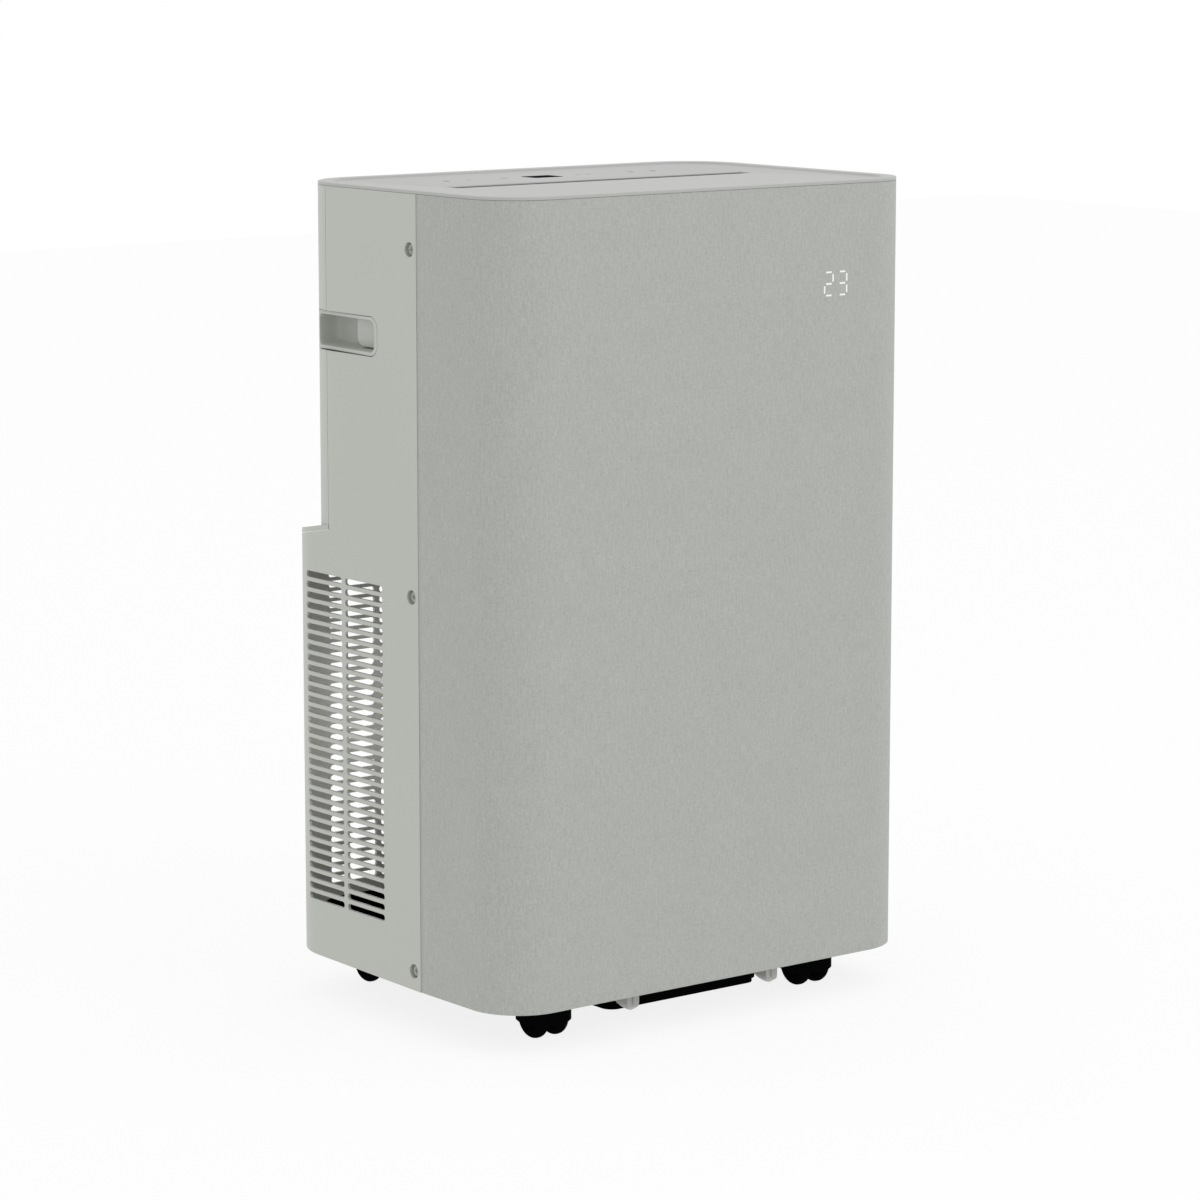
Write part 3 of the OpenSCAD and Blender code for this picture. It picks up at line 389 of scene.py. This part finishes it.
@dataclass(frozen=True)
class Glow(Finish):
    """Surface that gives off its own soft light."""

    strength: float = 1.0
    body: float = 0.05
    patchy: float = 0.1

    def sockets(self, graph: Graph) -> dict[str, Any]:
        """The light's colour, a little weaker in patches, over a darker body."""
        patch = graph.noise(graph.place(), 900.0)
        return {
            "Base Color": graph.tint(shade(self.colour, 0.9 * self.body),
                                     shade(self.colour, self.body), patch),
            "Roughness": self.roughness + patch * 0.1,
            "Emission Color": graph.tint(shade(self.colour, 1.0 - self.patchy), self.colour, patch),
            "Emission Strength": self.strength,
        }


@dataclass(frozen=True)
class Tread(Finish):
    """Black nylon with the dust and scuffs of a rolling wheel."""

    def sockets(self, graph: Graph) -> dict[str, Any]:
        """Scuffs lighten the colour and dull the surface."""
        at = graph.place()
        scuff = graph.node("ValToRGB", {"stops": ((0.52, 0.0), (0.78, 1.0))},
                           {0: graph.noise(at, 240.0, 4.0)})
        return {
            "Base Color": graph.tint(self.colour, shade(self.colour, 2.2), scuff),
            "Roughness": self.roughness + scuff * 0.25,
            "Normal": graph.bump(graph.noise(at, 1500.0), 0.01 * MM),
        }


# ---- outlines and meshes -------------------------------------------------


@dataclass(frozen=True)
class CasingPlan:
    """Plan of the cabinet with round corners."""

    half_w: float
    front: float
    back: float
    front_r: float = 48.0 * MM
    rear_r: float = 54.4 * MM
    steps: int = 20

    def corner(self, x: float, y: float, r: float, start: float) -> list[Point]:
        """Quarter circle round (x, y), counter-clockwise from start degrees."""
        turns = [math.radians(start + 90.0 * i / self.steps) for i in range(self.steps + 1)]
        return [(x + r * math.cos(a), y + r * math.sin(a)) for a in turns]

    def outline(self, inset: float = 0.0) -> list[Point]:
        """Closed outline, moved in by inset, counter-clockwise from the right front corner."""
        rf, rr = self.front_r - inset, self.rear_r - inset
        x_f, x_r = self.half_w - self.front_r, self.half_w - self.rear_r
        y_f, y_r = self.front + self.front_r, self.back - self.rear_r
        return (self.corner(x_f, y_f, rf, 270) + self.corner(x_r, y_r, rr, 0)
                + self.corner(-x_r, y_r, rr, 90) + self.corner(-x_f, y_f, rf, 180))

    def side_x(self, y: float) -> float:
        """Half width of the cabinet at depth y, towards the back."""
        past = max(0.0, y - (self.back - self.rear_r))
        return self.half_w - self.rear_r + math.sqrt(self.rear_r ** 2 - past ** 2)


def rounded(low: Point, high: Point, radius: float, steps: int = 8) -> list[Point]:
    """Rectangle with round corners, counter-clockwise.

    Args:
        low: lowest corner.
        high: highest corner.
        radius: corner radius.
        steps: segments in each corner.

    Returns:
        The outline's points.
    """
    centres = ((high[0] - radius, low[1] + radius, 270), (high[0] - radius, high[1] - radius, 0),
               (low[0] + radius, high[1] - radius, 90), (low[0] + radius, low[1] + radius, 180))
    points = []
    for x, y, start in centres:
        for i in range(steps + 1):
            a = math.radians(start + 90.0 * i / steps)
            points.append((x + radius * math.cos(a), y + radius * math.sin(a)))
    return points


class Shell:
    """A mesh built up from rings of points, and made into one object."""

    SHARP = math.radians(38.0)

    def __init__(self, name: str) -> None:
        """Starts an empty mesh."""
        self.name = name
        self.mesh = bmesh.new()

    def ring(self, points: Iterable[Sequence[float]]) -> list[bmesh.types.BMVert]:
        """Adds a ring of vertices."""
        return [self.mesh.verts.new(p) for p in points]

    def bridge(self, a: list[bmesh.types.BMVert], b: list[bmesh.types.BMVert]) -> None:
        """Joins two rings of the same length with quads."""
        for i in range(len(a)):
            j = (i + 1) % len(a)
            self.mesh.faces.new((a[i], a[j], b[j], b[i]))

    def loft(self, rings: Sequence[Iterable[Sequence[float]]]) -> tuple[list, list]:
        """Joins rings in order.

        Args:
            rings: points of each ring.

        Returns:
            The first and the last ring's vertices.
        """
        made = [self.ring(points) for points in rings]
        for a, b in zip(made, made[1:]):
            self.bridge(a, b)
        return made[0], made[-1]

    def fill(self, *loops: list[bmesh.types.BMVert]) -> None:
        """Fills a flat outline, with holes where more loops are given."""
        edges = []
        for loop in loops:
            for i, vert in enumerate(loop):
                other = loop[(i + 1) % len(loop)]
                edges.append(self.mesh.edges.get((vert, other))
                             or self.mesh.edges.new((vert, other)))
        bmesh.ops.triangle_fill(self.mesh, use_beauty=True, use_dissolve=False, edges=edges)

    def finish(self, material: bpy.types.Material, body: str,
               replaced: Sequence[str] = ()) -> bpy.types.Object:
        """Makes the object, rides it and hides the CAD nodes that it stands for.

        Args:
            material: its material.
            body: the body that it moves with.
            replaced: CAD nodes that it stands for.

        Returns:
            The object.
        """
        bmesh.ops.recalc_face_normals(self.mesh, faces=self.mesh.faces)
        for face in self.mesh.faces:
            face.smooth = True
        for edge in self.mesh.edges:
            if edge.is_manifold and edge.calc_face_angle(0.0) > self.SHARP:
                edge.smooth = False
        data = bpy.data.meshes.new(self.name)
        self.mesh.to_mesh(data)
        self.mesh.free()
        data.materials.append(material)
        piece = bpy.data.objects.new(self.name, data)
        bpy.context.scene.collection.objects.link(piece)
        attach(piece, body)
        if replaced:
            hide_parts(*replaced)
        log.info("%s: %d faces on %s", self.name, len(data.polygons), body)
        return piece


# ---- finishes of the object ----------------------------------------------


class Look(Enum):
    """One finish for each material slot of the record."""

    housing_plastic = Moulding("housing_plastic", (0.432, 0.443, 0.407), 0.42, edge=0.7 * MM)
    front_plastic = Moulding("front_plastic", (0.37, 0.377, 0.359), 0.46, edge=0.5 * MM)
    front_fabric = Cloth("front_fabric", (0.381, 0.392, 0.367), 0.86, specular=0.2)
    # painted shade: top_plastic is the housing plastic made about a tenth darker, because the top
    # gets more light than the sides
    top_plastic = Moulding("top_plastic", (0.378, 0.378, 0.369), 0.40)
    window_black = Moulding("window_black", (0.003, 0.003, 0.004), 0.35, specular=0.05, ior=1.01)
    icon_ink = Finish("icon_ink", (0.30, 0.31, 0.30), 0.5)
    circuit_board = Board("circuit_board", (0.03, 0.16, 0.07))
    flap_plastic = Moulding("flap_plastic", (0.13, 0.135, 0.12), 0.5, edge=0.4 * MM)
    motor_steel = Metal("motor_steel", (0.56, 0.57, 0.58), 0.38)
    handle_plastic = Moulding("handle_plastic", (0.433, 0.444, 0.410), 0.45)
    screw_steel = Finish("screw_steel", (0.34, 0.345, 0.325), 0.4)
    display_light = Glow("display_light", (0.97, 1.0, 0.96), 0.4, strength=0.86)
    filter_grey = Net("filter_grey", (0.16, 0.17, 0.175), 0.6)
    black_plastic = Moulding("black_plastic", (0.002, 0.002, 0.0024), 0.5, specular=0.03,
                             ior=1.05, edge=0.8 * MM)
    dark_plastic = Moulding("dark_plastic", (0.05, 0.05, 0.052), 0.5)
    black_rubber = Finish("black_rubber", (0.012, 0.012, 0.012), 0.7)
    fin_aluminium = Metal("fin_aluminium", (0.68, 0.69, 0.71), 0.34)
    copper = Metal("copper", (0.74, 0.36, 0.20), 0.3)
    sheet_steel = Metal("sheet_steel", (0.55, 0.56, 0.57), 0.42)
    black_steel = Finish("black_steel", (0.012, 0.012, 0.014), 0.28)
    float_plastic = Moulding("float_plastic", (0.62, 0.58, 0.48), 0.5)
    capacitor_white = Finish("capacitor_white", (0.62, 0.62, 0.60), 0.3)
    shaft_steel = Metal("shaft_steel", (0.60, 0.61, 0.62), 0.22, lines=(40.0, 1.0, 1.0))
    bearing_bronze = Metal("bearing_bronze", (0.50, 0.33, 0.14), 0.4)
    wheel_nylon = Tread("wheel_nylon", (0.002, 0.002, 0.0024), 0.5, specular=0.03, ior=1.05)


@dataclass
class Paint:
    """Makes each finish once and puts them on the CAD nodes."""

    made: dict[str, bpy.types.Material] = field(default_factory=dict)

    def get(self, slot: str) -> bpy.types.Material:
        """The material of a slot."""
        if slot not in self.made:
            self.made[slot] = Look[slot].value.build()
        return self.made[slot]

    def dress(self, frame: dict[str, Any]) -> None:
        """Gives every CAD node the finish of its slot."""
        for row in frame["record"]["subparts"]:
            node = frame["nodes"][row["node"]]
            node.data.materials.clear()
            node.data.materials.append(self.get(row["material_slot"]))


# ---- pieces --------------------------------------------------------------


@dataclass
class FrontCover:
    """Fabric skin stretched round the front shell from seam to seam."""

    THREADS = "thread_place"

    plan: CasingPlan
    sink: float = 0.15 * MM
    thickness: float = 0.9 * MM
    roll: float = 0.35 * MM
    columns: int = 72
    rows: int = 60

    def path(self, seam: float) -> list[Point]:
        """Plan of the skin from the left seam round the front to the right seam."""
        plan, r = self.plan, self.plan.front_r - self.sink
        x, y = plan.half_w - plan.front_r, plan.front + plan.front_r
        left = [(-plan.half_w + self.sink, seam + (y - seam) * i / 8) for i in range(8)]
        arc = plan.corner(-x, y, r, 180)
        front = [(-x + 2 * x * i / self.columns, plan.front + self.sink)
                 for i in range(1, self.columns)]
        right = [(-px, py) for px, py in reversed(left + arc)]
        return left + arc + front + right

    def edge_steps(self, length: float, count: int) -> list[tuple[float, float]]:
        """Places along an edge to edge run, each with how far the skin rolls in there."""
        rolled = [(0.0, self.roll), (0.12 * self.roll, 0.5 * self.roll),
                  (0.5 * self.roll, 0.12 * self.roll), (self.roll, 0.0)]
        middle = [(length * i / count, 0.0) for i in range(1, count)]
        far = [(length - place, drop) for place, drop in reversed(rolled)]
        return rolled + middle + far

    def build(self, paint: Paint) -> bpy.types.Object:
        """Makes the skin and its thread coordinates."""
        low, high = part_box("front_fabric")
        path = [Vector((x, y, 0.0)) for x, y in self.path(high.y)]
        runs = [0.0]
        for a, b in zip(path, path[1:]):
            runs.append(runs[-1] + (b - a).length)
        height = high.z - low.z
        levels = self.edge_steps(height, self.rows)
        shell = Shell("fabric_skin")
        layer = shell.mesh.verts.layers.float_vector.new(self.THREADS)
        grid = []
        for i, point in enumerate(path):
            ahead = path[min(i + 1, len(path) - 1)] - path[max(i - 1, 0)]
            inward = Vector((-ahead.y, ahead.x, 0.0)).normalized()
            column = []
            for level, drop in levels:
                vert = shell.mesh.verts.new(point + inward * drop + Vector((0, 0, low.z + level)))
                vert[layer] = (runs[i], level, 0.0)
                column.append(vert)
            grid.append(column)
        for a, b in zip(grid, grid[1:]):
            for j in range(len(levels) - 1):
                shell.mesh.faces.new((a[j], b[j], b[j + 1], a[j + 1]))
        skin = shell.finish(paint.get("front_fabric"), "cabinet", ["front_fabric"])
        thick = skin.modifiers.new("thickness", "SOLIDIFY")
        thick.thickness = self.thickness
        thick.offset = -1.0
        return skin


@dataclass
class TopCover:
    """Top plate with a rounded rim, a dished middle and the outlet slot."""

    plan: CasingPlan
    rim_w: float = 13.0 * MM
    dish: float = 1.8 * MM
    rim_t: float = 2.5 * MM
    tuck: float = 4.1 * MM
    slot_half: float = 158.0 * MM
    slot_front: float = 146.0 * MM
    slot_w: float = 18.0 * MM
    slot_r: float = 1.5 * MM
    slot_soft: float = 0.8 * MM
    liner_drop: float = 0.9 * MM
    recess: float = 1.3 * MM
    pane_gap: float = 0.1 * MM
    pane_r: float = 2.0 * MM
    edge: float = 0.9 * MM
    foot: float = 0.15 * MM

    def at(self, points: Iterable[Point], z: float) -> Ring:
        """A plan outline lifted to a height."""
        return [(x, y, z) for x, y in points]

    def build(self, paint: Paint) -> bpy.types.Object:
        """Makes the plate as a closed body."""
        _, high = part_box("top_plate")
        top, base = high.z, high.z - 2 * self.rim_t
        dish_z, lip_z = top - self.dish, top - self.rim_t
        edge, foot, soft, gap = self.edge, self.foot, self.slot_soft, self.pane_gap
        # inset from the casing and height, up the rim's outside, then down into the dish
        rim = [(self.tuck, base), (self.tuck, lip_z), (foot, lip_z),
               (0.3 * foot, lip_z + 0.3 * foot),
               (0.0, lip_z + foot), (0.0, top - edge), (0.1 * edge, top - 0.56 * edge),
               (0.3 * edge, top - 0.3 * edge), (0.56 * edge, top - 0.1 * edge), (edge, top)]
        inner = [(self.rim_w - 1.2 * MM, 0.0), (self.rim_w - 0.5 * MM, 0.06), (self.rim_w, 0.25),
                 (self.rim_w + 0.6 * MM, 0.55), (self.rim_w + 1.4 * MM, 0.86),
                 (self.rim_w + 2.4 * MM, 1.0)]
        rim += [(inset, top - self.dish * fall) for inset, fall in inner]
        shell = Shell("top_cover")
        under, dish = shell.loft([self.at(self.plan.outline(inset), z) for inset, z in rim])
        y0 = self.plan.front + self.slot_front
        slot_steps = ((soft, dish_z), (0.3 * soft, dish_z - 0.2 * soft),
                      (0.0, dish_z - 0.8 * soft), (0.0, base))
        slot_top, slot_under = shell.loft([
            self.at(rounded((-self.slot_half - grow, y0 - grow),
                            (self.slot_half + grow, y0 + self.slot_w + grow),
                            self.slot_r + grow), z)
            for grow, z in slot_steps])
        pane_low, pane_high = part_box("control_window")
        pane = rounded((pane_low.x - gap, pane_low.y - gap),
                       (pane_high.x + gap, pane_high.y + gap), self.pane_r)
        pane_top, pane_under = shell.loft([self.at(pane, dish_z),
                                           self.at(pane, dish_z - self.recess)])
        shell.fill(dish, slot_top, pane_top)
        shell.fill(pane_under)
        shell.fill(under, slot_under)
        # painted shade: a dark ring over the slot's walls stands in for their shade
        self.liner(paint, y0, dish_z - self.liner_drop, base)
        return shell.finish(paint.get("top_plastic"), "cabinet", ["top_plate"])

    def liner(self, paint: Paint, y0: float, top: float, base: float) -> bpy.types.Object:
        """Dark ring that lines the outlet slot: painted shade on the slot's walls, drawn as a dark
        sheet.

        Args:
            paint: the finishes.
            y0: front edge of the slot.
            top: height of its upper edge.
            base: height of its lower edge.

        Returns:
            The ring.
        """
        ring = Shell("outlet_shade_liner")
        outer, inner = 0.03 * MM, 0.33 * MM
        first, last = ring.loft([
            self.at(rounded((-self.slot_half + inset, y0 + inset),
                            (self.slot_half - inset, y0 + self.slot_w - inset), self.slot_r), z)
            for inset, z in ((outer, base), (outer, top), (inner, top), (inner, base))])
        ring.bridge(last, first)
        return ring.finish(paint.get("flap_plastic"), "cabinet")


@dataclass
class GripCup:
    """Recessed hand grip that follows the side and the rear corner."""

    plan: CasingPlan
    side: int
    node: str
    corner: float = 10.0 * MM
    pad_len: float = 46.0 * MM
    pad_drop: float = 12.0 * MM
    pad_lift: float = 5.0 * MM
    pad_r: float = 9.0 * MM
    pad_end: float = 4.6 * MM
    pad_top: float = 3.0 * MM

    def pad(self, low: Vector, high: Vector, inset: float) -> list[Point]:
        """Outline of the shallow front part, in y and z, moved in by inset at its free edges."""
        y0, y1 = low.y + self.pad_end, low.y + self.pad_len - inset
        z0, z1 = low.z + self.pad_lift + inset, high.z - self.pad_top
        r = self.pad_r - inset
        turns = [math.radians(270.0 + 90.0 * i / 10) for i in range(11)]
        arc = [(y1 - r + r * math.cos(a), z0 + r + r * math.sin(a)) for a in turns]
        return [(y0, z0), *arc, (y1, z1), (y0, z1)]

    def build(self, paint: Paint) -> bpy.types.Object:
        """Makes the cup from its outer edge to its floor."""
        low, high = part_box(self.node)
        depth = high.x - low.x
        # inset along the length, inset up and down, depth below the casing, share of a flat floor
        steps = [(0.3, 0.3, 2.4, 0.0), (0.3, 0.3, 0.5, 0.0), (0.45, 0.45, 0.14, 0.0),
                 (0.8, 0.8, 0.0, 0.0), (3.9, 2.5, 0.0, 0.0), (4.5, 2.9, 0.2, 0.0),
                 (4.9, 3.3, 0.7, 0.0), (5.1, 3.5, 1.6, 0.0), (5.3, 3.6, 6.0, 0.25),
                 (5.8, 3.9, 13.0, 0.6), (6.6, 4.3, 20.0, 1.0), (8.2, 5.4, 23.8, 1.0),
                 (10.5, 7.2, 25.4, 1.0), (13.0, 9.5, 25.8, 1.0)]
        shell = Shell(self.node.replace("handle_cup", "grip_cup"))
        rings = []
        for end, lip, down, flat in steps:
            points = rounded((low.y + end * MM, low.z + lip * MM),
                             (high.y - end * MM, high.z - lip * MM),
                             max(self.corner - lip * MM, 3.0 * MM))
            ring = []
            for y, z in points:
                x = (1.0 - flat) * self.plan.side_x(y) + flat * self.plan.half_w - down * MM
                ring.append((self.side * x, y, z))
            rings.append(ring)
        _, floor = shell.loft(rings)
        shell.fill(floor)
        # inset at the pad's free edges, how far it stands in from its face
        levels = ((0.0, 14.0), (0.0, 1.4), (0.15, 0.7), (0.5, 0.25), (1.2, 0.0))
        _, face = shell.loft([
            [(self.side * (self.plan.half_w - self.pad_drop - down * MM), y, z)
             for y, z in self.pad(low, high, inset * MM)] for inset, down in levels])
        shell.fill(face)
        cup = shell.finish(paint.get("handle_plastic"), "cabinet", [self.node])
        log.info("%s is %.0f mm deep", cup.name, depth / MM)
        return cup


@dataclass
class Studio:
    """Pale floor, soft lights and the camera."""

    eye: tuple[float, float, float] = (-2.2451, -2.8708, 0.9397)
    forward: tuple[float, float, float] = (0.6085, 0.7772, -0.1602)
    lens: float = 129.09
    sensor: float = 36.0
    shift: tuple[float, float] = (0.0005, -0.01)
    floor_size: float = 14.0
    aim: tuple[float, float, float] = (0.0, 0.0, 0.35)
    key: tuple[float, float, float] = (0.7, -2.7, 2.4)
    key_size: float = 2.2
    key_power: float = 18.0
    inside: tuple[float, float, float] = (-0.13, 0.02, 0.23)
    inside_size: float = 0.06
    inside_power: float = 0.1

    def camera(self) -> None:
        """Sets the camera at the viewing angle."""
        data = bpy.data.cameras.new("camera")
        data.lens, data.sensor_width = self.lens, self.sensor
        data.shift_x, data.shift_y = self.shift
        camera = bpy.data.objects.new("camera", data)
        camera.location = self.eye
        camera.rotation_euler = Vector(self.forward).to_track_quat("-Z", "Y").to_euler()
        bpy.context.scene.collection.objects.link(camera)
        bpy.context.scene.camera = camera

    def light(self, name: str, place: Sequence[float], facing: Sequence[float], size: float,
              power: float) -> bpy.types.Object:
        """Adds a square soft light.

        Args:
            name: its name.
            place: its position.
            facing: the direction in which it shines.
            size: its edge.
            power: in watts.

        Returns:
            The light.
        """
        data = bpy.data.lights.new(name, "AREA")
        data.size, data.energy = size, power
        lamp = bpy.data.objects.new(name, data)
        lamp.location = place
        lamp.rotation_euler = Vector(facing).to_track_quat("-Z", "Y").to_euler()
        bpy.context.scene.collection.objects.link(lamp)
        return lamp

    def floor(self) -> None:
        """Adds the flat pale floor."""
        mesh = bmesh.new()
        half = self.floor_size / 2
        corners = [mesh.verts.new((x, y, 0.0)) for x, y in
                   ((-half, -half), (half, -half), (half, half), (-half, half))]
        mesh.faces.new(corners)
        data = bpy.data.meshes.new("floor")
        mesh.to_mesh(data)
        mesh.free()
        pale = Glow("floor", (0.97, 0.97, 0.97), 0.9, specular=0.0, strength=0.88, body=0.14,
                    patchy=0.0)
        data.materials.append(pale.build())
        floor = bpy.data.objects.new("floor", data)
        bpy.context.scene.collection.objects.link(floor)

    def build(self) -> None:
        """Sets up everything round the object."""
        scene = bpy.context.scene
        world = bpy.data.worlds.new("studio")
        world.use_nodes = True
        world.node_tree.nodes["Background"].inputs["Color"].default_value = (1, 1, 1, 1)
        world.node_tree.nodes["Background"].inputs["Strength"].default_value = 1.0
        scene.world = world
        scene.view_settings.view_transform = "Standard"
        self.camera()
        self.floor()
        self.light("key", self.key, Vector(self.aim) - Vector(self.key), self.key_size,
                   self.key_power)
        fill = self.light("inside", self.inside, (0.0, 1.0, 0.0), self.inside_size,
                          self.inside_power)
        fill.visible_camera = False


def soften(frame: dict[str, Any], names: Iterable[str], width: float) -> None:
    """Rounds the sharp edges of small CAD nodes without moving their faces.

    Args:
        frame: the loaded frame.
        names: the nodes.
        width: radius of the rounding.
    """
    for name in names:
        node = frame["nodes"][name]
        weld = node.modifiers.new("weld", "WELD")
        weld.merge_threshold = 0.005 * MM
        bevel = node.modifiers.new("soft_edges", "BEVEL")
        bevel.width, bevel.segments = width, 3
        bevel.limit_method, bevel.angle_limit = "ANGLE", math.radians(50)
        bevel.harden_normals = True


def main() -> None:
    """Builds the looks piece by piece."""
    logging.basicConfig(level=logging.INFO, format="%(message)s")
    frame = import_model()
    Studio().build()
    paint = Paint()
    paint.dress(frame)
    low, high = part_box("top_plate")
    plan = CasingPlan(half_w=high.x, front=low.y, back=high.y)
    FrontCover(plan).build(paint)
    TopCover(plan).build(paint)
    GripCup(plan, 1, "handle_cup_right").build(paint)
    GripCup(plan, -1, "handle_cup_left").build(paint)
    hoods = [f"castor_hood_{end}_{side}" for end in ("front", "rear") for side in ("left", "right")]
    soften(frame, [*hoods, "drain_plug", "cord_gland"], 0.6 * MM)


if __name__ == "__main__":
    main()
